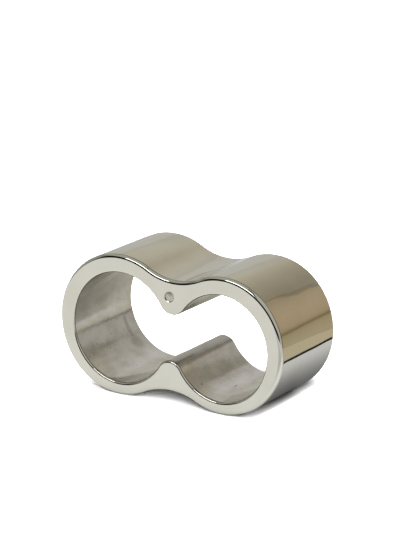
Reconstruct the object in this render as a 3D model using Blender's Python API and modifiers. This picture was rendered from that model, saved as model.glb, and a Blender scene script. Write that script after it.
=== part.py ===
"""Double finger ring: one broad figure-of-eight band of cast metal with a pin set in its upper cusp.

The band stands on its two lobes. +X runs from the large lobe to the small one, +Y runs through
the band from its front face to its back face, and +Z is up. The origin is the middle of the
footprint, on the surface that the ring stands on.
"""
import math

import bmesh
import bpy
from mathutils import Matrix, Vector

MM = 0.001

# Band
WIDTH = 48.0 * MM              # overall, across both lobes
DEPTH = 20.0 * MM              # front face to back face
TALLER = 1.03                  # every lobe and opening is this much taller than it is wide
LARGE_LOBE_RADIUS = 13.15 * MM
SMALL_LOBE_RADIUS = 12.65 * MM
UPPER_WAIST_RADIUS = 12.5 * MM
LOWER_WAIST_RADIUS = 13.2 * MM
OUTER_EDGE_ROUND = 0.78 * MM

# Finger openings
WALL = 2.85 * MM               # the wall's thickness where a lobe and its opening share a centre
OPENING_INSET = 0.32 * MM      # each opening sits this much nearer the middle than its lobe
OPENING_DROP = 0.47 * MM       # and this much lower, so that the band is thicker on top
UPPER_CUSP_RADIUS = 3.0 * MM
LOWER_CUSP_RADIUS = 2.75 * MM
INNER_EDGE_ROUND = 0.50 * MM

# Cusp pin
PIN_X = 0.25 * MM
PIN_HEIGHT = 20.75 * MM
PIN_RADIUS = 0.95 * MM
PIN_LENGTH = 6.0 * MM
PIN_SINK = 0.10 * MM           # the pin's rim lies this far behind the front face
PIN_DISH = 0.18 * MM           # depth of the dish in the pin's end
PIN_EDGE = 0.08 * MM
PIN_CLEARANCE = 0.05 * MM
PIN_END_GAP = 0.3 * MM

# Facets
LOBE_STEP = math.radians(6)
WAIST_STEP = math.radians(6)
CUSP_STEP = math.radians(12)
PIN_SIDES = 24
CUTTER_OVERRUN = 2.0 * MM

POLISHED = ((0.80, 0.78, 0.73, 1.0), 0.08)
PIN_METAL = ((0.74, 0.73, 0.70, 1.0), 0.16)


def clear_scene():
    for old in list(bpy.data.objects):
        bpy.data.objects.remove(old, do_unlink=True)


def new_collection(name):
    group = bpy.data.collections.new(name)
    bpy.context.scene.collection.children.link(group)
    return group


def metal(name, colour, roughness):
    material = bpy.data.materials.new(name)
    material.use_nodes = True
    shader = material.node_tree.nodes["Principled BSDF"]
    shader.inputs["Base Color"].default_value = colour
    shader.inputs["Metallic"].default_value = 1.0
    shader.inputs["Roughness"].default_value = roughness
    material.diffuse_color = colour
    return material


def arc(centre, radius, start, end, step):
    """Points along an arc, its first point included and its last left to the next arc."""
    count = max(2, round(abs(end - start) / step))
    angles = [start + (end - start) * i / count for i in range(count)]
    return [centre + radius * Vector((math.cos(a), math.sin(a))) for a in angles]


def heading(vector):
    return math.atan2(vector.y, vector.x)


def fillet_centre(lobe_a, radius_a, lobe_b, radius_b, fillet, side):
    """Centre of an arc that touches both lobes from outside, above (side 1) or below (side -1)."""
    between = lobe_b - lobe_a
    reach_a = radius_a + fillet
    reach_b = radius_b + fillet
    along = (reach_a ** 2 - reach_b ** 2 + between.length ** 2) / (2 * between.length)
    across = math.sqrt(reach_a ** 2 - along ** 2)
    unit = between.normalized()
    return lobe_a + along * unit + side * across * Vector((-unit.y, unit.x))


def figure_eight(large, large_radius, small, small_radius, upper, lower, waist_step):
    """Clockwise outline of two circles joined by an upper and a lower inward arc."""
    top = fillet_centre(large, large_radius, small, small_radius, upper, 1)
    bottom = fillet_centre(large, large_radius, small, small_radius, lower, -1)
    turn = 2 * math.pi
    points = arc(large, large_radius, heading(bottom - large), heading(top - large) - turn, LOBE_STEP)
    points += arc(top, upper, heading(large - top) + turn, heading(small - top) + turn, waist_step)
    points += arc(small, small_radius, heading(top - small), heading(bottom - small), LOBE_STEP)
    points += arc(bottom, lower, heading(small - bottom), heading(large - bottom), waist_step)
    return [Vector((p.x, p.y * TALLER)) for p in points]


def lobe_centres(inset=0.0, drop=0.0):
    """Centres of the lobes, or of their openings, before the outline is stretched upwards."""
    large = Vector((-WIDTH / 2 + LARGE_LOBE_RADIUS + inset, LARGE_LOBE_RADIUS - drop))
    small = Vector((WIDTH / 2 - SMALL_LOBE_RADIUS - inset, SMALL_LOBE_RADIUS - drop))
    return large, small


def outer_outline():
    large, small = lobe_centres()
    return figure_eight(large, LARGE_LOBE_RADIUS, small, SMALL_LOBE_RADIUS,
                        UPPER_WAIST_RADIUS, LOWER_WAIST_RADIUS, WAIST_STEP)


def opening_outline():
    large, small = lobe_centres(OPENING_INSET, OPENING_DROP)
    return figure_eight(large, LARGE_LOBE_RADIUS - WALL, small, SMALL_LOBE_RADIUS - WALL,
                        UPPER_CUSP_RADIUS, LOWER_CUSP_RADIUS, CUSP_STEP)


def upright_slab(name, outline, depth, edge_round, group):
    """A flat outline given its depth along Y, stood up, with its edges rounded."""
    curve = bpy.data.curves.new(name, "CURVE")
    curve.dimensions = "2D"
    curve.fill_mode = "BOTH"
    curve.extrude = depth / 2 - edge_round
    curve.bevel_depth = edge_round
    curve.bevel_resolution = 2
    curve.offset = -edge_round
    spline = curve.splines.new("POLY")
    spline.points.add(len(outline) - 1)
    for point, place in zip(spline.points, outline):
        point.co = (place.x, place.y, 0.0, 1.0)
    spline.use_cyclic_u = True
    guide = bpy.data.objects.new(name + "_outline", curve)
    guide.rotation_euler = (math.radians(90), 0, 0)
    group.objects.link(guide)
    return mesh_from_curve(guide, name, group)


def mesh_from_curve(guide, name, group):
    """The curve as a closed mesh in world space; the curve is removed."""
    bpy.context.view_layer.update()
    evaluated = guide.evaluated_get(bpy.context.evaluated_depsgraph_get())
    mesh = bpy.data.meshes.new_from_object(evaluated)
    mesh.name = name
    mesh.transform(guide.matrix_world)
    bpy.data.objects.remove(guide, do_unlink=True)
    shell = bmesh.new()
    shell.from_mesh(mesh)
    bmesh.ops.remove_doubles(shell, verts=shell.verts, dist=0.001 * MM)
    bmesh.ops.recalc_face_normals(shell, faces=shell.faces)
    shell.to_mesh(mesh)
    shell.free()
    solid = bpy.data.objects.new(name, mesh)
    group.objects.link(solid)
    return solid


def as_cutter(cutter):
    cutter.hide_render = True
    cutter.display_type = "WIRE"
    return cutter


def cut(piece, cutter):
    boolean = piece.modifiers.new("cut_" + cutter.name, "BOOLEAN")
    boolean.operation = "DIFFERENCE"
    boolean.solver = "EXACT"
    boolean.object = cutter


def round_sharp_edges(piece, width):
    bevel = piece.modifiers.new("inner_edges", "BEVEL")
    bevel.limit_method = "ANGLE"
    bevel.angle_limit = math.radians(60)
    bevel.width = width
    bevel.segments = 2


def smooth(piece):
    piece.data.shade_smooth()
    piece.data.set_sharp_from_angle(angle=math.radians(35))


def make_pin_hole(group):
    """A cylinder in place of the pin's blind hole, open at the front face."""
    length = PIN_SINK + PIN_LENGTH + PIN_END_GAP + CUTTER_OVERRUN
    shell = bmesh.new()
    bmesh.ops.create_cone(shell, cap_ends=True, segments=PIN_SIDES, depth=length,
                          radius1=PIN_RADIUS + PIN_CLEARANCE, radius2=PIN_RADIUS + PIN_CLEARANCE)
    middle = -DEPTH / 2 - CUTTER_OVERRUN + length / 2
    place = Matrix.Translation((PIN_X, middle, PIN_HEIGHT)) @ Matrix.Rotation(math.radians(90), 4, "X")
    bmesh.ops.transform(shell, matrix=place, verts=shell.verts)
    mesh = bpy.data.meshes.new("pin_hole")
    shell.to_mesh(mesh)
    shell.free()
    hole = bpy.data.objects.new("pin_hole", mesh)
    group.objects.link(hole)
    return as_cutter(hole)


def make_band(parts, cutters):
    band = upright_slab("band", outer_outline(), DEPTH, OUTER_EDGE_ROUND, parts)
    openings = as_cutter(upright_slab("finger_openings", opening_outline(),
                                      DEPTH + 2 * CUTTER_OVERRUN, 0.0, cutters))
    cut(band, openings)
    round_sharp_edges(band, INNER_EDGE_ROUND)
    cut(band, make_pin_hole(cutters))
    smooth(band)
    band.data.materials.clear()
    band.data.materials.append(metal("polished_metal", *POLISHED))
    return band


def make_cusp_pin(parts):
    """A turned pin along local Z, its dished end up, laid along Y with that end at the front."""
    profile = [
        (0.0, -PIN_DISH),
        (0.45 * PIN_RADIUS, -0.75 * PIN_DISH),
        (PIN_RADIUS - PIN_EDGE, 0.0),
        (PIN_RADIUS, -PIN_EDGE),
        (PIN_RADIUS, PIN_EDGE - PIN_LENGTH),
        (PIN_RADIUS - PIN_EDGE, -PIN_LENGTH),
        (0.0, -PIN_LENGTH),
    ]
    mesh = bpy.data.meshes.new("cusp_pin")
    edges = [(i, i + 1) for i in range(len(profile) - 1)]
    mesh.from_pydata([(r, 0.0, z) for r, z in profile], edges, [])
    pin = bpy.data.objects.new("cusp_pin", mesh)
    parts.objects.link(pin)
    screw = pin.modifiers.new("turned", "SCREW")
    screw.steps = PIN_SIDES
    screw.render_steps = PIN_SIDES
    screw.use_merge_vertices = True
    screw.merge_threshold = 0.0001 * MM
    pin.location = (PIN_X, -DEPTH / 2 + PIN_SINK, PIN_HEIGHT)
    pin.rotation_euler = (math.radians(90), 0, 0)
    mesh.materials.append(metal("pin_metal", *PIN_METAL))
    return pin


def main():
    clear_scene()
    parts = new_collection("double_finger_ring")
    cutters = new_collection("cutters")
    make_band(parts, cutters)
    make_cusp_pin(parts)


main()
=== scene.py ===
"""Looks of the double finger ring: a mirror-polished figure-of-eight band, satin inside its
finger openings, with a small pin in its upper cusp, standing on a pale floor.

Most of a mirror's look is what it mirrors. The polish sees a room made for it: a dark front, a
softbox overhead, a framed card behind the ring and a floor of its own. The camera sees none of
that, only the ring and a plain pale floor under soft light.

Everything is in metres, in the CAD's own frame: +X from the large lobe to the small one,
+Y from the front face to the back face, +Z up, and the origin in the middle of the footprint.
"""
import math

import bpy
import numpy as np
from mathutils import Matrix, Vector, noise


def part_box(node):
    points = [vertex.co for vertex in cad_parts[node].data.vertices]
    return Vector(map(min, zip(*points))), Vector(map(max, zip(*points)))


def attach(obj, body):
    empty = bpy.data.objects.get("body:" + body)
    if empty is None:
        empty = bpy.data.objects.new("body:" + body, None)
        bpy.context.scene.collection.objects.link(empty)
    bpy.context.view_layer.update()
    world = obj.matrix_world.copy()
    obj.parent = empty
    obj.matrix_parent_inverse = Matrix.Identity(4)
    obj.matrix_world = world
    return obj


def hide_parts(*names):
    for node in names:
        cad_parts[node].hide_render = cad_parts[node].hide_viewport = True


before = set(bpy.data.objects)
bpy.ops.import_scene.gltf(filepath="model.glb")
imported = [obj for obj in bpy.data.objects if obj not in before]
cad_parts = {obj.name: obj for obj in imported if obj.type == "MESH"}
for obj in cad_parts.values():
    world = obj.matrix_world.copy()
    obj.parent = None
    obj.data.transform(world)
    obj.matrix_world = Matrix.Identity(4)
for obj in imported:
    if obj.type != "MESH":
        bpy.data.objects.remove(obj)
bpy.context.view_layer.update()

MM = 0.001
LOW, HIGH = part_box("band")
WIDTH = HIGH.x - LOW.x
FRONT = LOW.y
BACK = HIGH.y
PIN_LOW, PIN_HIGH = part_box("cusp_pin")
PIN_CENTRE = (PIN_LOW + PIN_HIGH) / 2
PIN_RADIUS = (PIN_HIGH.x - PIN_LOW.x) / 2

# The band's outline, the same design as the CAD's
TALLER = 1.03                  # every lobe and opening is this much taller than it is wide
LARGE_LOBE_RADIUS = 13.15 * MM
SMALL_LOBE_RADIUS = 12.65 * MM
UPPER_WAIST_RADIUS = 12.5 * MM
LOWER_WAIST_RADIUS = 13.2 * MM
OUTER_EDGE_ROUND = 0.78 * MM
WALL = 2.85 * MM
OPENING_INSET = 0.32 * MM      # each opening sits this much nearer the middle than its lobe
OPENING_DROP = 0.47 * MM       # and this much lower
UPPER_CUSP_RADIUS = 3.0 * MM
LOWER_CUSP_RADIUS = 2.75 * MM
INNER_EDGE_ROUND = 0.50 * MM
ABOVE, BELOW = 1, -1
OUT, IN = 1, -1
TO_FRONT, TO_BACK = -1, 1

# Mesh fineness
LOBE_POINTS = 150
WAIST_POINTS = 60
WALL_ROWS = 28
FACE_ROWS = 10
EDGE_ROWS = 8
SHARP_BAND = math.radians(25)
SHARP_PIN = math.radians(50)

# Hand polishing leaves slow waves in the outside, and casting leaves more inside
OUTER_WAVE = 0.020 * MM
INNER_WAVE = 0.060 * MM
FACE_WAVE = 0.004 * MM
WAVE_LENGTH = 7.0 * MM
OUTER_SEED, INNER_SEED, FACE_SEED = 1, 2, 5
SEED_SHIFT = (3.1, 7.7, 1.3)   # how far each seed moves the waves, in wave lengths
RIPPLE_SHARE = 0.35            # a second, finer wave on top of the first
RIPPLE_FINER = 2.1

# The pin, and the hole that it is pressed into
PIN_SIDES = 48
PIN_SINK = 0.03 * MM           # how far the dome's top lies behind the front face
PIN_DOME = 0.12 * MM
PIN_RIM = 0.06 * MM
PIN_LENGTH = 5.9 * MM
DOME_STEPS = 9
RIM_STEPS = 6
RIM_START = 0.3                # angle, in radians, at which the rim takes over from the dome
PIN_CLEARANCE = 0.008 * MM
HOLE_DEPTH = 6.4 * MM
HOLE_CHAMFER = 0.10 * MM       # how much wider the hole's mouth is, all round
HOLE_SLOPE = math.tan(math.radians(33))
CUTTER_OVERRUN = 1.0 * MM

# The camera
CAMERA_PLACE = Vector((224.65, -366.88, 142.64)) * MM
CAMERA_AZIMUTH = math.radians(31.40)
CAMERA_ELEVATION = math.radians(15.41)
CAMERA_ROLL = math.radians(0.41)
FRAME_HEIGHT_PX = 534
FOCAL_PX = 2405.0
SENSOR_HEIGHT_MM = 24.0
CLIP_NEAR = 0.01
CLIP_FAR = 20.0


# ---------------------------------------------------------------- outline

def arc(centre, radius, start, end, count):
    """Points along an arc and the directions from its centre; its last point is left out."""
    angles = start + (end - start) * np.arange(count) / count
    rays = np.c_[np.cos(angles), np.sin(angles)]
    return centre + radius * rays, rays


def heading(vector):
    return math.atan2(vector[1], vector[0])


def fillet_centre(lobe_a, radius_a, lobe_b, radius_b, fillet, side):
    """Centre of an arc that touches both lobes from outside, on the side above or below them."""
    between = lobe_b - lobe_a
    length = np.hypot(*between)
    reach_a = radius_a + fillet
    reach_b = radius_b + fillet
    along = (reach_a ** 2 - reach_b ** 2 + length ** 2) / (2 * length)
    across = math.sqrt(reach_a ** 2 - along ** 2)
    unit = between / length
    return lobe_a + along * unit + side * across * np.array((-unit[1], unit[0]))


def figure_eight(large, large_radius, small, small_radius, upper, lower):
    """Clockwise outline of two circles joined by two inward arcs, and its outward normals."""
    top = fillet_centre(large, large_radius, small, small_radius, upper, ABOVE)
    bottom = fillet_centre(large, large_radius, small, small_radius, lower, BELOW)
    turn = 2 * math.pi
    stretches = (
        (large, large_radius, heading(bottom - large), heading(top - large) - turn,
         LOBE_POINTS, OUT),
        (top, upper, heading(large - top) + turn, heading(small - top) + turn,
         WAIST_POINTS, IN),
        (small, small_radius, heading(top - small), heading(bottom - small),
         LOBE_POINTS, OUT),
        (bottom, lower, heading(small - bottom), heading(large - bottom),
         WAIST_POINTS, IN),
    )
    points, normals = [], []
    for centre, radius, start, end, count, sign in stretches:
        place, ray = arc(centre, radius, start, end, count)
        points.append(place)
        normals.append(sign * ray)
    points = np.vstack(points) * (1, TALLER)
    normals = np.vstack(normals) * (TALLER, 1)
    return points, normals / np.linalg.norm(normals, axis=1)[:, None]


def lobe_centres(inset=0.0, drop=0.0):
    large = np.array((-WIDTH / 2 + LARGE_LOBE_RADIUS + inset, LARGE_LOBE_RADIUS - drop))
    small = np.array((WIDTH / 2 - SMALL_LOBE_RADIUS - inset, SMALL_LOBE_RADIUS - drop))
    return large, small


def outer_outline():
    large, small = lobe_centres()
    return figure_eight(large, LARGE_LOBE_RADIUS, small, SMALL_LOBE_RADIUS,
                        UPPER_WAIST_RADIUS, LOWER_WAIST_RADIUS)


def opening_outline():
    large, small = lobe_centres(OPENING_INSET, OPENING_DROP)
    return figure_eight(large, LARGE_LOBE_RADIUS - WALL, small, SMALL_LOBE_RADIUS - WALL,
                        UPPER_CUSP_RADIUS, LOWER_CUSP_RADIUS)


# ---------------------------------------------------------------- band

def waves(places, amplitude, seed):
    """Smooth heights, one for each place, about as high as amplitude."""
    shift = Vector([seed * step for step in SEED_SHIFT])
    heights = []
    for place in places:
        q = Vector(place) / WAVE_LENGTH + shift
        ripple = noise.noise(RIPPLE_FINER * q + shift)
        heights.append(noise.noise(q) + RIPPLE_SHARE * ripple)
    return amplitude * np.array(heights)


def eased(count):
    """Steps from 0 to 1 with both ends left out, closer together near the ends."""
    t = np.arange(1, count) / count
    return 0.5 - 0.5 * np.cos(np.pi * t)


def in_depth(outline, y):
    return np.c_[outline[:, 0], np.full(len(outline), y), outline[:, 1]]


def wall_rows(points, normals, start, end, amplitude, seed):
    """Rows from one depth to another, each point lifted off the outline by the waves."""
    rows = []
    for t in np.r_[0.0, eased(WALL_ROWS), 1.0]:
        row = in_depth(points, start + (end - start) * t)
        lift = waves(row, amplitude, seed)
        rows.append(row + in_depth(normals, 0.0) * lift[:, None])
    return rows


def edge_rows(wall_row, normals, radius, forward, to_face):
    """Rows over a rounded edge, from the wall to the face, or from the face to the wall."""
    rows = []
    angles = np.arange(1, EDGE_ROWS) / EDGE_ROWS * math.pi / 2
    steps = angles if to_face else angles[::-1]
    for angle in steps:
        row = wall_row - in_depth(normals, 0.0) * radius * (1 - math.cos(angle))
        row[:, 1] = row[:, 1] + forward * radius * math.sin(angle)
        rows.append(row)
    return rows


def face_edge(wall_row, normals, radius, forward):
    """The row where a rounded edge reaches the face."""
    row = wall_row - in_depth(normals, 0.0) * radius
    row[:, 1] = row[:, 1] + forward * radius
    return row


def face_rows(first, last, forward):
    """Rows over a flat face between its two edges, ends included, very slightly waved."""
    rows = [first]
    for t in eased(FACE_ROWS):
        row = first + (last - first) * t
        lift = waves(row, FACE_WAVE, FACE_SEED) * math.sin(math.pi * t)
        row[:, 1] = row[:, 1] + forward * (lift - FACE_WAVE)
        rows.append(row)
    rows.append(last)
    return rows


POLISHED_SLOT, SATIN_SLOT = 0, 1


def band_rows():
    """Closed rows round the band's section, and the material slot of the gap after each row."""
    outer, outer_out = outer_outline()
    inner, inner_out = opening_outline()
    inner_in = -inner_out
    outer_wall = wall_rows(outer, outer_out, FRONT + OUTER_EDGE_ROUND, BACK - OUTER_EDGE_ROUND,
                           OUTER_WAVE, OUTER_SEED)
    inner_wall = wall_rows(inner, inner_out, BACK - INNER_EDGE_ROUND, FRONT + INNER_EDGE_ROUND,
                           INNER_WAVE, INNER_SEED)
    outer_front, outer_back = outer_wall[0], outer_wall[-1]
    inner_back, inner_front = inner_wall[0], inner_wall[-1]
    back_outer = face_edge(outer_back, outer_out, OUTER_EDGE_ROUND, TO_BACK)
    back_inner = face_edge(inner_back, inner_in, INNER_EDGE_ROUND, TO_BACK)
    front_inner = face_edge(inner_front, inner_in, INNER_EDGE_ROUND, TO_FRONT)
    front_outer = face_edge(outer_front, outer_out, OUTER_EDGE_ROUND, TO_FRONT)

    before_satin = [
        outer_wall,
        edge_rows(outer_back, outer_out, OUTER_EDGE_ROUND, TO_BACK, to_face=True),
        face_rows(back_outer, back_inner, TO_BACK),
        edge_rows(inner_back, inner_in, INNER_EDGE_ROUND, TO_BACK, to_face=False),
    ]
    after_satin = [
        edge_rows(inner_front, inner_in, INNER_EDGE_ROUND, TO_FRONT, to_face=True),
        face_rows(front_inner, front_outer, TO_FRONT),
        edge_rows(outer_front, outer_out, OUTER_EDGE_ROUND, TO_FRONT, to_face=False),
    ]
    rows = [row for group in before_satin for row in group]
    slots = [POLISHED_SLOT] * len(rows)
    rows += inner_wall
    slots += [SATIN_SLOT] * (len(inner_wall) - 1) + [POLISHED_SLOT]
    rows += [row for group in after_satin for row in group]
    slots += [POLISHED_SLOT] * (len(rows) - len(slots))
    return rows, slots


def grid_mesh(name, rows, slots):
    """A mesh through closed rows, itself closed from the last row to the first."""
    across = len(rows[0])
    along = len(rows)
    faces, face_slots = [], []
    for r in range(along):
        here = r * across
        there = ((r + 1) % along) * across
        for a in range(across):
            b = (a + 1) % across
            faces.append((here + a, here + b, there + b, there + a))
        face_slots += [slots[r]] * across
    mesh = bpy.data.meshes.new(name)
    mesh.from_pydata(np.vstack(rows).tolist(), [], faces)
    mesh.polygons.foreach_set("material_index", face_slots)
    mesh.update()
    return mesh


def add_object(name, data):
    piece = bpy.data.objects.new(name, data)
    bpy.context.scene.collection.objects.link(piece)
    return piece


def turned(name, profile, place):
    """A closed turned solid: its profile runs from axis to axis, and local +Z faces the front."""
    turns = [2 * math.pi * side / PIN_SIDES for side in range(PIN_SIDES)]
    verts = [(0.0, 0.0, profile[0][1])]
    for radius, height in profile[1:-1]:
        verts += [(radius * math.cos(turn), radius * math.sin(turn), height) for turn in turns]
    verts.append((0.0, 0.0, profile[-1][1]))
    last = len(verts) - 1
    faces = []
    for side in range(PIN_SIDES):
        after = (side + 1) % PIN_SIDES
        faces.append((0, 1 + side, 1 + after))
        for here in range(1, last - PIN_SIDES, PIN_SIDES):
            there = here + PIN_SIDES
            faces.append((here + side, there + side, there + after, here + after))
        faces.append((last - PIN_SIDES + side, last, last - PIN_SIDES + after))
    mesh = bpy.data.meshes.new(name)
    mesh.from_pydata(verts, [], faces)
    mesh.transform(Matrix.Translation(place) @ Matrix.Rotation(math.radians(90), 4, "X"))
    return add_object(name, mesh)


def pin_hole():
    """What is cut away for the pin: a blind hole with a chamfered mouth."""
    radius = PIN_RADIUS + PIN_CLEARANCE
    profile = [
        (0.0, CUTTER_OVERRUN),
        (radius + HOLE_CHAMFER + CUTTER_OVERRUN / HOLE_SLOPE, CUTTER_OVERRUN),
        (radius, -HOLE_CHAMFER * HOLE_SLOPE),
        (radius, -HOLE_DEPTH),
        (0.0, -HOLE_DEPTH),
    ]
    return turned("pin_hole", profile, Vector((PIN_CENTRE.x, FRONT, PIN_CENTRE.z)))


def make_band(polished, satin):
    rows, slots = band_rows()
    mesh = grid_mesh("ring_band", rows, slots)
    mesh.materials.append(polished)
    mesh.materials.append(satin)
    band = add_object("ring_band", mesh)
    hole = pin_hole()
    boolean = band.modifiers.new("pin_hole", "BOOLEAN")
    boolean.operation = "DIFFERENCE"
    boolean.solver = "EXACT"
    boolean.object = hole
    bpy.context.view_layer.update()
    drilled = bpy.data.meshes.new_from_object(
        band.evaluated_get(bpy.context.evaluated_depsgraph_get()))
    band.modifiers.clear()
    band.data = drilled
    drilled.name = "ring_band"
    bpy.data.objects.remove(hole, do_unlink=True)
    drilled.shade_smooth()
    drilled.set_sharp_from_angle(angle=SHARP_BAND)
    return band


def make_pin(metal):
    """The pin: a very low dome with a rounded rim, and a plain shank behind it."""
    dome_radius = PIN_RADIUS - PIN_RIM
    dome = [(dome_radius * t, PIN_DOME * (1 - t * t)) for t in np.linspace(0, 1, DOME_STEPS)]
    rim = [(dome_radius + PIN_RIM * math.sin(angle), PIN_RIM * (math.cos(angle) - 1))
           for angle in np.linspace(RIM_START, math.pi / 2, RIM_STEPS)]
    profile = dome + rim + [(PIN_RADIUS, -PIN_LENGTH), (0.0, -PIN_LENGTH)]
    foot_of_dome = FRONT + PIN_SINK + PIN_DOME
    pin = turned("ring_pin", profile, Vector((PIN_CENTRE.x, foot_of_dome, PIN_CENTRE.z)))
    pin.data.shade_smooth()
    pin.data.set_sharp_from_angle(angle=SHARP_PIN)
    pin.data.materials.append(metal)
    return pin


# ---------------------------------------------------------------- nodes

class Nodes:
    """Short names for the nodes that the materials and the world use."""

    def __init__(self, owner):
        owner.use_nodes = True
        self.tree = owner.node_tree

    def add(self, kind, **settings):
        node = self.tree.nodes.new(kind)
        for key, value in settings.items():
            setattr(node, key, value)
        return node

    def link(self, source, target):
        self.tree.links.new(source, target)

    def feed(self, socket, value):
        """Link a socket, or set a number or a colour."""
        if isinstance(value, bpy.types.NodeSocket):
            self.link(value, socket)
        elif isinstance(value, tuple):
            socket.default_value = (*value, 1.0)
        else:
            socket.default_value = value

    def math(self, operation, a, b=0.0):
        node = self.add("ShaderNodeMath", operation=operation)
        self.feed(node.inputs[0], a)
        self.feed(node.inputs[1], b)
        return node.outputs[0]

    def smooth(self, value, low, high):
        """0 at low and beyond, 1 at high and beyond, and a smooth step between."""
        node = self.add("ShaderNodeMapRange", interpolation_type="SMOOTHSTEP")
        self.feed(node.inputs["Value"], value)
        node.inputs["From Min"].default_value = low
        node.inputs["From Max"].default_value = high
        return node.outputs[0]

    def zone(self, *fades):
        """1 where every fade is 1. A fade is a value and the two ends of its smooth step."""
        whole = self.smooth(*fades[0])
        for fade in fades[1:]:
            whole = self.math("MULTIPLY", whole, self.smooth(*fade))
        return whole

    def patch(self, x, along_x, y, along_y):
        """1 where every fade along x and every fade along y is 1."""
        return self.zone(*[(x, *fade) for fade in along_x], *[(y, *fade) for fade in along_y])

    def either(self, *fades):
        """1 where any fade is 1."""
        whole = self.smooth(*fades[0])
        for fade in fades[1:]:
            whole = self.math("MAXIMUM", whole, self.smooth(*fade))
        return whole

    def within(self, value, low, high, soft):
        """1 between low and high, fading out over soft beyond both of them."""
        return self.zone((value, low - soft, low), (value, high + soft, high))

    def scaled(self, value, low, high, to_low, to_high):
        node = self.add("ShaderNodeMapRange")
        self.feed(node.inputs["Value"], value)
        for key, number in zip(("From Min", "From Max", "To Min", "To Max"),
                               (low, high, to_low, to_high)):
            node.inputs[key].default_value = number
        return node.outputs[0]

    def ramp(self, value, stops):
        node = self.add("ShaderNodeValToRGB")
        ramp = node.color_ramp
        while len(ramp.elements) > 1:
            ramp.elements.remove(ramp.elements[-1])
        for index, (place, colour) in enumerate(stops):
            element = ramp.elements[0] if index == 0 else ramp.elements.new(place)
            element.position = place
            element.color = (*colour, 1.0)
        self.feed(node.inputs["Fac"], value)
        return node.outputs["Color"]

    def mix(self, amount, a, b):
        """Colour a where amount is 0, and colour b where it is 1."""
        node = self.add("ShaderNodeMix", data_type="RGBA")
        self.feed(node.inputs[0], amount)
        self.feed(node.inputs[6], a)
        self.feed(node.inputs[7], b)
        return node.outputs[2]

    def toward(self, paint, colour, share, where):
        """Paint with a share of another colour laid over it, where a zone is 1."""
        return self.mix(self.math("MULTIPLY", where, share), paint, colour)

    def noise(self, scale, detail, roughness, vector):
        node = self.add("ShaderNodeTexNoise")
        node.inputs["Scale"].default_value = scale
        node.inputs["Detail"].default_value = detail
        node.inputs["Roughness"].default_value = roughness
        self.link(vector, node.inputs["Vector"])
        return node.outputs["Fac"]

    def place(self, stretch=(1.0, 1.0, 1.0)):
        """The object's own coordinates, in metres, each axis stretched."""
        source = self.add("ShaderNodeTexCoord")
        mapping = self.add("ShaderNodeMapping")
        mapping.inputs["Scale"].default_value = stretch
        self.link(source.outputs["Object"], mapping.inputs["Vector"])
        return mapping.outputs["Vector"]

    def axes(self, vector):
        """The x, y and z of a vector."""
        split = self.add("ShaderNodeSeparateXYZ")
        self.link(vector, split.inputs[0])
        return split.outputs

    def bump(self, height, distance, normal=None):
        node = self.add("ShaderNodeBump")
        node.inputs["Strength"].default_value = 1.0
        node.inputs["Distance"].default_value = distance
        self.link(height, node.inputs["Height"])
        if normal is not None:
            self.link(normal, node.inputs["Normal"])
        return node.outputs["Normal"]


# ---------------------------------------------------------------- metals

# A noise is its scale, detail and roughness. A tint is a ramp over a noise, and a haze turns a
# range of a noise into a range of the metal's roughness.
SMUDGE_NOISE = (160.0, 3.0, 0.55)
SMUDGE_TINT = ((0.35, (0.620, 0.608, 0.552)), (0.65, (0.650, 0.640, 0.588)))
SMUDGE_HAZE = (0.4, 0.7, 0.030, 0.060)
WHEEL_NOISE = (900.0, 4.0, 0.6)
WHEEL_STRETCH = (1.0, 0.06, 1.0)
WHEEL_HAZE = (0.45, 0.75, 0.0, 0.03)
WHEEL_DEPTH = 0.0005 * MM

CLOUD_NOISE = (210.0, 4.0, 0.6)
CLOUD_DEPTH = 0.060 * MM
MOTTLE_NOISE = (560.0, 4.0, 0.6)
MOTTLE_STRETCH = (1.0, 0.45, 1.0)
MOTTLE_DEPTH = 0.012 * MM
GRAIN_NOISE = (2600.0, 3.0, 0.6)
GRAIN_DEPTH = 0.0008 * MM
SATIN_TINT = ((0.36, (0.490, 0.472, 0.437)), (0.50, (0.572, 0.556, 0.521)),
              (0.64, (0.632, 0.620, 0.590)))
SATIN_HAZE = (0.3, 0.7, 0.12, 0.20)
PIT_NOISE = (1300.0, 2.0, 0.5)
PIT_STRETCH = (1.0, 0.6, 1.0)
PIT_RANGE = (0.715, 0.76)
PIT_COLOUR = (0.12, 0.11, 0.09)
PIT_SHARE = 0.7

# Where the satin is darker: painted shade on the lower cusp's crest, and a darker streak that
# ends in a spot. Where each is whole, and how softly it fades at its ends
CREST_X = (-0.0022, 0.0026)
CREST_Z = (0.0080, 0.0110)
CREST_SOFT_X = 0.0010
STREAK_Y = (0.0061, 0.0065)
STREAK_Z = (0.0062, 0.0094)
STREAK_END = (-0.014, -0.016)
SPOT = (-0.0172, 0.0063, 0.0050)
SPOT_FADE = (0.0022, 0.0008)
MARK_SOFT = 0.0006
STREAK_SHARE = 0.8
SHADE_AND_MARK_COLOUR = (0.10, 0.09, 0.08)
SHADE_AND_MARK_SHARE = 0.38

PIN_NOISE = (1500.0, 2.0, 0.5)
PIN_TINT = ((0.35, (0.48, 0.47, 0.42)), (0.65, (0.56, 0.55, 0.50)))
PIN_HAZE = (0.3, 0.7, 0.34, 0.44)


def metal_shader(name):
    material = bpy.data.materials.new(name)
    nodes = Nodes(material)
    shader = nodes.tree.nodes["Principled BSDF"]
    shader.inputs["Metallic"].default_value = 1.0
    return material, nodes, shader


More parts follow.
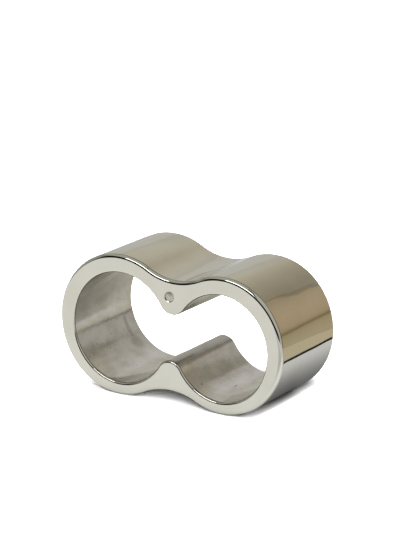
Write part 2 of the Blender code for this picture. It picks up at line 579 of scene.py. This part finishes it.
def polished_metal():
    """Mirror polish: faint wheel marks along the band and a few soft smudges."""
    material, nodes, shader = metal_shader("polished_metal")
    smudge = nodes.noise(*SMUDGE_NOISE, nodes.place())
    lines = nodes.noise(*WHEEL_NOISE, nodes.place(WHEEL_STRETCH))
    nodes.link(nodes.ramp(smudge, SMUDGE_TINT), shader.inputs["Base Color"])
    haze = nodes.math("ADD", nodes.scaled(smudge, *SMUDGE_HAZE), nodes.scaled(lines, *WHEEL_HAZE))
    nodes.link(haze, shader.inputs["Roughness"])
    nodes.link(nodes.bump(lines, WHEEL_DEPTH), shader.inputs["Normal"])
    return material


def satin_shade_and_marks(nodes):
    """Where the satin is darker: painted shade on the lower cusp's crest, and a streak ending in
    a spot.
    """
    place = nodes.place()
    x, y, z = nodes.axes(place)
    # Painted shade on the lower cusp's crest
    crest = nodes.math("MULTIPLY", nodes.within(z, *CREST_Z, MARK_SOFT),
                       nodes.within(x, *CREST_X, CREST_SOFT_X))
    streak = nodes.math("MULTIPLY", nodes.within(y, *STREAK_Y, MARK_SOFT),
                      nodes.within(z, *STREAK_Z, MARK_SOFT))
    streak = nodes.math("MULTIPLY", streak, nodes.smooth(x, *STREAK_END))
    away = nodes.add("ShaderNodeVectorMath", operation="DISTANCE")
    nodes.link(place, away.inputs[0])
    away.inputs[1].default_value = SPOT
    spot = nodes.smooth(away.outputs["Value"], *SPOT_FADE)
    streak = nodes.math("MULTIPLY", nodes.math("MAXIMUM", streak, spot), STREAK_SHARE)
    return nodes.math("MAXIMUM", crest, streak)


def satin_metal():
    """As-cast metal, tumbled satin: soft mottling, fine grain and small pits."""
    material, nodes, shader = metal_shader("satin_metal")
    cloud = nodes.noise(*CLOUD_NOISE, nodes.place())
    mottle = nodes.noise(*MOTTLE_NOISE, nodes.place(MOTTLE_STRETCH))
    grain = nodes.noise(*GRAIN_NOISE, nodes.place())
    mean = nodes.math("MULTIPLY", nodes.math("ADD", cloud, mottle), 0.5)
    tint = nodes.ramp(mean, SATIN_TINT)
    pits = nodes.smooth(nodes.noise(*PIT_NOISE, nodes.place(PIT_STRETCH)), *PIT_RANGE)
    tint = nodes.toward(tint, PIT_COLOUR, PIT_SHARE, pits)
    # Painted shade on the lower cusp's crest, and a darker streak and spot
    tint = nodes.toward(tint, SHADE_AND_MARK_COLOUR, SHADE_AND_MARK_SHARE, satin_shade_and_marks(nodes))
    nodes.link(tint, shader.inputs["Base Color"])
    nodes.link(nodes.scaled(cloud, *SATIN_HAZE), shader.inputs["Roughness"])
    swell = nodes.bump(cloud, CLOUD_DEPTH)
    swell = nodes.bump(mottle, MOTTLE_DEPTH, swell)
    nodes.link(nodes.bump(grain, GRAIN_DEPTH, swell), shader.inputs["Normal"])
    return material


def pin_metal():
    """Metal that is darker and duller than the polished band."""
    material, nodes, shader = metal_shader("pin_metal")
    cloud = nodes.noise(*PIN_NOISE, nodes.place())
    nodes.link(nodes.ramp(cloud, PIN_TINT), shader.inputs["Base Color"])
    nodes.link(nodes.scaled(cloud, *PIN_HAZE), shader.inputs["Roughness"])
    return material


# ---------------------------------------------------------------- room

# Here and below, a fade is a pair of places, or of parts of a direction: it is 0 at the first and
# 1 at the second, whichever of them is larger.
BLACK = (0.0, 0.0, 0.0)
DARK = (0.012, 0.012, 0.010)
CEILING = (0.50, 0.505, 0.46)
SIDE = (0.60, 0.595, 0.55)
FRAME_LINE = (0.07, 0.065, 0.05)
HORIZON = (0.200, 0.185, 0.150)
WALL_LOW = (0.560, 0.540, 0.490)

# The wall behind everything, by the angle round the depth axis, in degrees up from the right
FAR_WALL = (
    (0, (0.540, 0.525, 0.480)),
    (70, WALL_LOW),
    (95, (0.660, 0.645, 0.620)),
    (112, (0.730, 0.720, 0.705)),
    (126, (0.700, 0.690, 0.665)),
    (140, (0.622, 0.598, 0.520)),
    (150, (0.621, 0.604, 0.543)),
    (169, (0.583, 0.573, 0.528)),
    (180, (0.549, 0.553, 0.524)),
)
HALF_TURN = 180

# Parts of a direction in the room: x to the right, y to the back, z up
HORIZON_Z = (0.050, 0.020)
HORIZON_X = (0.0, 0.2)
SIDE_X = (0.10, 0.35)
DARK_TOP = (0.64, 0.60)
DARK_TOP_TILT = 0.5            # the dark front stands lower toward the right
DARK_FRONT_Y = (-0.38, -0.44)
DARK_LEFT_Y = (0.44, 0.38)
DARK_LEFT_X = (0.10, -0.10)
GREY_LEFT_X = (-0.86, -0.66)
GREY_LEFT_DARK = 0.15          # the share of dark that is left beyond that
GAP_X = ((0.11, 0.14), (0.31, 0.28))
GAP_Y = ((-0.66, -0.60), (0.04, -0.02))
FRAME_Y = (0.50, 0.53)
WALL_Y = (0.63, 0.67)


def make_world():
    """The room that the polish mirrors: dark in front, grey overhead, a pale wall behind."""
    world = bpy.data.worlds.new("room")
    bpy.context.scene.world = world
    nodes = Nodes(world)
    background = nodes.tree.nodes["Background"]
    source = nodes.add("ShaderNodeTexCoord")
    x, y, z = nodes.axes(source.outputs["Generated"])

    turn = nodes.math("DIVIDE", nodes.math("ARCTAN2", z, x), math.pi)
    wall = nodes.ramp(turn, [(degrees / HALF_TURN, colour) for degrees, colour in FAR_WALL])
    wall = nodes.mix(nodes.zone((z, *HORIZON_Z), (x, *HORIZON_X)), wall, HORIZON)

    room = nodes.mix(nodes.smooth(x, *SIDE_X), CEILING, SIDE)
    right = nodes.math("MAXIMUM", x, 0.0)
    height = nodes.math("ADD", z, nodes.math("MULTIPLY", right, DARK_TOP_TILT))
    low = nodes.smooth(height, *DARK_TOP)
    left_front = nodes.zone((y, *DARK_LEFT_Y), (x, *DARK_LEFT_X))
    front = nodes.math("MAXIMUM", nodes.smooth(y, *DARK_FRONT_Y), left_front)
    grey = nodes.scaled(nodes.smooth(x, *GREY_LEFT_X), 0, 1, GREY_LEFT_DARK, 1.0)
    front = nodes.math("MULTIPLY", front, grey)
    room = nodes.mix(nodes.math("MULTIPLY", low, front), room, DARK)
    room = nodes.mix(nodes.patch(x, GAP_X, y, GAP_Y), room, DARK)
    room = nodes.mix(nodes.smooth(y, *FRAME_Y), room, FRAME_LINE)
    room = nodes.mix(nodes.smooth(y, *WALL_Y), room, wall)
    nodes.link(room, background.inputs["Color"])
    background.inputs["Strength"].default_value = 1.0


def mirrored_only(piece):
    """Leave a piece to the polish: the camera doesn't see it, and it casts no light or shade."""
    piece.visible_camera = False
    piece.visible_diffuse = False
    piece.visible_shadow = False


# ---------------------------------------------------------------- floors

FLOOR_SIZE = 8.0
FLOOR_ROUGHNESS = 0.9

# The seen floor: white, with a shade under the small lobe and a glow of its own away from there
SEEN_BELOW = 0.03 * MM
SEEN_WHITE = (0.86, 0.86, 0.86)
SHADE_X = ((0.0188, 0.0145), (0.000, 0.008))
SHADE_Y = ((-0.012, 0.004), (0.024, 0.014))
SHADE_SHARE = 0.96
GLOW_RADIUS = (0.026, 0.042)
GLOW_RIGHT = (0.0165, 0.0200)
GLOW_LEFT = (-0.018, -0.024)
GLOW_BEHIND = (0.013, 0.022)
GLOW = 1.6


def sheet(name, below):
    """A large flat sheet under the ring, a hair below the ground."""
    bpy.ops.mesh.primitive_plane_add(size=FLOOR_SIZE, location=(0, 0, -below))
    piece = bpy.context.object
    piece.name = name
    material = bpy.data.materials.new(name)
    piece.data.materials.append(material)
    nodes = Nodes(material)
    shader = nodes.tree.nodes["Principled BSDF"]
    shader.inputs["Roughness"].default_value = FLOOR_ROUGHNESS
    shader.inputs["Specular IOR Level"].default_value = 0.0
    return piece, nodes, shader


def make_floor():
    """The white floor that the camera sees. It glows a little, so that it stays white far off."""
    floor, nodes, shader = sheet("floor", SEEN_BELOW)
    away = nodes.add("ShaderNodeVectorMath", operation="LENGTH")
    place = nodes.place()
    nodes.link(place, away.inputs[0])
    x, y, _ = nodes.axes(place)
    shade = nodes.patch(x, SHADE_X, y, SHADE_Y)
    paint = nodes.toward(SEEN_WHITE, BLACK, SHADE_SHARE, shade)
    nodes.link(paint, shader.inputs["Base Color"])
    shader.inputs["Emission Color"].default_value = (1.0, 1.0, 1.0, 1.0)
    own = nodes.either((away.outputs["Value"], *GLOW_RADIUS), (x, *GLOW_RIGHT), (x, *GLOW_LEFT),
                       (y, *GLOW_BEHIND))
    own = nodes.math("MULTIPLY", own, nodes.math("SUBTRACT", 1.0, shade))
    nodes.link(nodes.math("MULTIPLY", own, GLOW), shader.inputs["Emission Strength"])
    floor.visible_glossy = False
    return floor


# The mirrored floor: colours as the polish shows them, and the share of them that the floor
# gives off as a glow of its own, which is painted light
MIRRORED_BELOW = 0.015 * MM
FLOOR_LEFT = (0.90, 0.90, 0.875)
FLOOR_AWAY = (0.765, 0.765, 0.735)
FLOOR_REAR = (0.555, 0.535, 0.460)
FLOOR_FRONT = (0.50, 0.50, 0.47)
FLOOR_BEHIND = (0.64, 0.645, 0.65)
FLOOR_FAR_LEFT = (0.51, 0.512, 0.49)
OWN_GLOW_SHARE = 0.5
FLOOR_ALBEDO = 0.15

AWAY_Y = (-0.012, -0.045)
FRONT_X = (0.004, 0.030)
FRONT_Y = (-0.012, -0.040)
ASIDE_Y = (-0.015, 0.012)
ASIDE_X = (0.045, 0.080)
REAR_X = (0.018, 0.008)
LEFT_BACK_X = (0.000, -0.015)
LEFT_BACK_Y = (0.045, 0.060)
FAR_LEFT_X = (-0.030, -0.060)
FAR_Y = (0.35, 0.70)
FAR_X = (0.0, 0.2)

# Shadows on the mirrored floor: how dark, then the fades along x and along y
SHADOWS = (
    # behind the large lobe
    (0.45, ((-0.034, -0.024), (0.012, 0.002)), ((0.000, 0.010), (0.044, 0.016))),
    # behind the small lobe
    (0.75, ((0.034, 0.016), (0.002, 0.012)), ((-0.012, -0.004), (0.050, 0.030))),
    # under the waist
    (0.90, ((-0.017, -0.014), (0.018, 0.015)), ((-0.0104, -0.0088), (0.012, 0.009))),
)

# A tan board that lies on the floor at the right, as far back as the card, with a dark painted
# shadow gap along its left and front edges
BOARD_NEAR = (0.52, 0.455, 0.320)
BOARD_FAR = (0.44, 0.37, 0.235)
SHADOW_GAP_X = (0.0358, 0.0362)
SHADOW_GAP_Y = (0.0128, 0.0132)
BOARD_X = (0.0383, 0.0387)
BOARD_Y = (0.0153, 0.0157)
BOARD_SHADE_X = (0.036, 0.150)
CARD_DISTANCE = 0.060
BOARD_END_Y = (CARD_DISTANCE + 0.001, CARD_DISTANCE)
BEYOND_CARD_Y = (CARD_DISTANCE, CARD_DISTANCE + 0.002)


def floor_paint(nodes, x, y):
    """The mirrored floor's own colours, from bright at the front left to grey behind."""
    front = nodes.zone((x, *FRONT_X), (y, *FRONT_Y))
    paint = nodes.mix(nodes.smooth(y, *AWAY_Y), FLOOR_LEFT, FLOOR_AWAY)
    paint = nodes.mix(front, paint, FLOOR_FRONT)
    behind = nodes.mix(nodes.smooth(x, *REAR_X), FLOOR_BEHIND, FLOOR_REAR)
    behind = nodes.mix(nodes.smooth(y, *BEYOND_CARD_Y), behind, FLOOR_REAR)
    left_back = nodes.zone((x, *LEFT_BACK_X), (y, *LEFT_BACK_Y))
    left_back = nodes.math("MAXIMUM", left_back, nodes.smooth(x, *FAR_LEFT_X))
    behind = nodes.mix(left_back, behind, FLOOR_FAR_LEFT)
    paint = nodes.mix(nodes.either((y, *ASIDE_Y), (x, *ASIDE_X)), paint, behind)
    return nodes.mix(nodes.zone((y, *FAR_Y), (x, *FAR_X)), paint, HORIZON)


def make_mirrored_floor():
    """The floor as the polish mirrors it, with a tan board at the right and a painted shadow gap
    along its near edges.
    """
    floor, nodes, shader = sheet("mirrored_floor", MIRRORED_BELOW)
    x, y, _ = nodes.axes(nodes.place())
    paint = floor_paint(nodes, x, y)
    for share, along_x, along_y in SHADOWS:
        paint = nodes.toward(paint, BLACK, share, nodes.patch(x, along_x, y, along_y))
    # Painted shadow gap: a dark strip along the board's left and front edges
    shadow_gap = nodes.zone((x, *SHADOW_GAP_X), (y, *SHADOW_GAP_Y), (y, *BOARD_END_Y))
    paint = nodes.mix(shadow_gap, paint, DARK)
    board = nodes.zone((x, *BOARD_X), (y, *BOARD_Y), (y, *BOARD_END_Y))
    wood = nodes.mix(nodes.smooth(x, *BOARD_SHADE_X), BOARD_NEAR, BOARD_FAR)
    paint = nodes.mix(board, paint, wood)
    albedo = nodes.add("ShaderNodeVectorMath", operation="SCALE")
    nodes.link(paint, albedo.inputs[0])
    albedo.inputs["Scale"].default_value = FLOOR_ALBEDO
    nodes.link(albedo.outputs[0], shader.inputs["Base Color"])
    # The floor gives off its colours as a glow of its own: painted light that the polish mirrors
    nodes.link(paint, shader.inputs["Emission Color"])
    shader.inputs["Emission Strength"].default_value = OWN_GLOW_SHARE
    mirrored_only(floor)
    return floor


# ---------------------------------------------------------------- card

CARD_LEFT = -0.110
CARD_RIGHT = 0.150
CARD_TOP = 0.125
CARD_FRAME_X = (0.085, 0.087)
CARD_FRAME_Z = (0.086, 0.088)
TAN_START = 0.045
BROWN_LOW = 0.048              # the brown part starts at this height
BROWN_FADE_Z = (0.060, BROWN_LOW)
LOW_BROWN_LEFT = 0.010         # but it hangs lower to the right of this
LOW_BROWN_BOTTOM = 0.037
LOW_BROWN = (0.370, 0.345, 0.285)
LOW_BROWN_X = (LOW_BROWN_LEFT - 0.012, LOW_BROWN_LEFT)

# The card's colours turn round a pivot: degrees up from the right, and the colour there
PIVOT_X = 0.020
PIVOT_Z = 0.018
TAN = (
    (-20, (0.520, 0.440, 0.290)),
    (-7, (0.470, 0.395, 0.245)),
    (-2, (0.420, 0.335, 0.200)),
    (0, (0.270, 0.200, 0.110)),
    (2, (0.320, 0.245, 0.140)),
    (5, (0.440, 0.350, 0.215)),
    (9, (0.490, 0.385, 0.248)),
    (14, (0.515, 0.405, 0.267)),
    (28, (0.532, 0.422, 0.284)),
    (46, (0.500, 0.405, 0.272)),
    (60, (0.420, 0.350, 0.235)),
)
TAN_OFFSET = 45                # added to the degrees, because a ramp starts at 0
BROWN = (
    (50, (0.350, 0.290, 0.205)),
    (65, (0.350, 0.300, 0.215)),
    (75, (0.376, 0.329, 0.248)),
    (96, (0.449, 0.403, 0.313)),
    (118, (0.544, 0.502, 0.395)),
    (134, (0.622, 0.592, 0.495)),
)

# The edge between tan and brown wanders a little, and has a dark line along it
TAN_EDGE = 0.041
EDGE_NOISE = (130.0, 2.0, 0.5)
EDGE_DRIFT = (0.3, 0.7, -0.003, 0.003)
EDGE_FADE = (-0.0006, 0.0006)
EDGE_LINE = (0.0018, 0.0004)
EDGE_SHADE = (0.130, 0.095, 0.055)
EDGE_SHARE = 0.35


def card_paint(nodes):
    """The card's colours: tan, brown above and to the left of it, and a dark frame."""
    place = nodes.place()
    x, _, z = nodes.axes(place)
    across = nodes.math("SUBTRACT", x, PIVOT_X)
    up = nodes.math("SUBTRACT", z, PIVOT_Z)
    turn = nodes.math("DIVIDE", nodes.math("ARCTAN2", up, across), math.pi)
    tan = nodes.ramp(nodes.math("ADD", turn, TAN_OFFSET / HALF_TURN),
                     [((degrees + TAN_OFFSET) / HALF_TURN, colour) for degrees, colour in TAN])
    brown = nodes.ramp(turn, [(degrees / HALF_TURN, colour) for degrees, colour in BROWN])
    low = nodes.mix(nodes.smooth(x, *LOW_BROWN_X), WALL_LOW, LOW_BROWN)
    brown = nodes.mix(nodes.smooth(z, *BROWN_FADE_Z), brown, low)
    drift = nodes.scaled(nodes.noise(*EDGE_NOISE, place), *EDGE_DRIFT)
    edge = nodes.math("SUBTRACT", nodes.math("ADD", x, drift), TAN_EDGE)
    paint = nodes.mix(nodes.smooth(edge, *EDGE_FADE), brown, tan)
    line = nodes.smooth(nodes.math("ABSOLUTE", edge), *EDGE_LINE)
    paint = nodes.toward(paint, EDGE_SHADE, EDGE_SHARE, line)
    return nodes.mix(nodes.either((x, *CARD_FRAME_X), (z, *CARD_FRAME_Z)), paint, FRAME_LINE)


def make_backdrop():
    """A framed card standing behind the ring: tan at the right, brown at the left and above.
    It gives off these colours as a glow of its own: painted light that only the polish sees.
    """
    corners = ((TAN_START, 0.0), (CARD_RIGHT, 0.0), (CARD_RIGHT, CARD_TOP), (CARD_LEFT, CARD_TOP),
               (CARD_LEFT, BROWN_LOW), (LOW_BROWN_LEFT, BROWN_LOW),
               (LOW_BROWN_LEFT, LOW_BROWN_BOTTOM), (TAN_START, LOW_BROWN_BOTTOM))
    mesh = bpy.data.meshes.new("backdrop")
    mesh.from_pydata([(x, CARD_DISTANCE, z) for x, z in corners], [], [range(len(corners))])
    card = add_object("backdrop", mesh)
    material = bpy.data.materials.new("backdrop")
    mesh.materials.append(material)
    nodes = Nodes(material)
    shader = nodes.tree.nodes["Principled BSDF"]
    shader.inputs["Base Color"].default_value = (*BLACK, 1.0)
    shader.inputs["Specular IOR Level"].default_value = 0.0
    nodes.link(card_paint(nodes), shader.inputs["Emission Color"])
    shader.inputs["Emission Strength"].default_value = 1.0
    mirrored_only(card)


# ---------------------------------------------------------------- lights and camera

# Each light's width, height, place and radiance
SOFTBOX = (0.48, 0.15, (-0.11, -0.57, 0.57), 3.6)
DOME = (2.4, 2.4, (0.0, 0.0, 0.70), 3.6)
WINDOW = (1.6, 1.6, (-0.50, -0.60, 0.80), 2.5)
KEY = (1.1, 0.7, (0.65, -0.82, 0.55), 11.0)
FILL = (2.4, 2.4, (0.0, 0.0, 0.70), 0.70)
WATTS_PER_RADIANCE = 4         # an area light's power, for each square metre of it


def area_light(name, width, height, place, radiance):
    """A rectangular light at a place, facing the ring."""
    data = bpy.data.lights.new(name, "AREA")
    data.shape = "RECTANGLE"
    data.size = width
    data.size_y = height
    data.energy = WATTS_PER_RADIANCE * radiance * width * height
    light = add_object(name, data)
    aim = Vector(place).to_track_quat("Z", "Y").to_matrix().to_4x4()
    light.matrix_world = Matrix.Translation(place) @ aim
    return light


def lit_only(light, receiver):
    """Let a light reach one sheet and nothing else."""
    group = bpy.data.collections.new(light.name + "_receiver")
    group.objects.link(receiver)
    light.light_linking.receiver_collection = group
    light.visible_glossy = False


def make_lights(floor, mirrored_floor):
    """The softbox that the polish mirrors, and the lights of each of the two floors."""
    area_light("softbox", *SOFTBOX)
    lit_only(area_light("dome", *DOME), mirrored_floor)
    lit_only(area_light("window", *WINDOW), mirrored_floor)
    lit_only(area_light("key", *KEY), floor)
    lit_only(area_light("fill", *FILL), floor)


def make_camera():
    data = bpy.data.cameras.new("camera")
    data.sensor_fit = "VERTICAL"
    data.sensor_height = SENSOR_HEIGHT_MM
    data.lens = FOCAL_PX * data.sensor_height / FRAME_HEIGHT_PX
    data.clip_start = CLIP_NEAR
    data.clip_end = CLIP_FAR
    camera = add_object("camera", data)
    turn = (Matrix.Rotation(CAMERA_AZIMUTH, 4, "Z")
            @ Matrix.Rotation(math.radians(90) - CAMERA_ELEVATION, 4, "X")
            @ Matrix.Rotation(CAMERA_ROLL, 4, "Z"))
    camera.matrix_world = Matrix.Translation(CAMERA_PLACE) @ turn
    bpy.context.scene.camera = camera


# ---------------------------------------------------------------- put together

def main():
    bpy.context.scene.view_settings.view_transform = "Standard"
    make_camera()
    make_world()
    make_lights(make_floor(), make_mirrored_floor())
    make_backdrop()

    band = make_band(polished_metal(), satin_metal())
    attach(band, "root")
    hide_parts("band")
    pin = make_pin(pin_metal())
    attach(pin, "root")
    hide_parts("cusp_pin")


main()
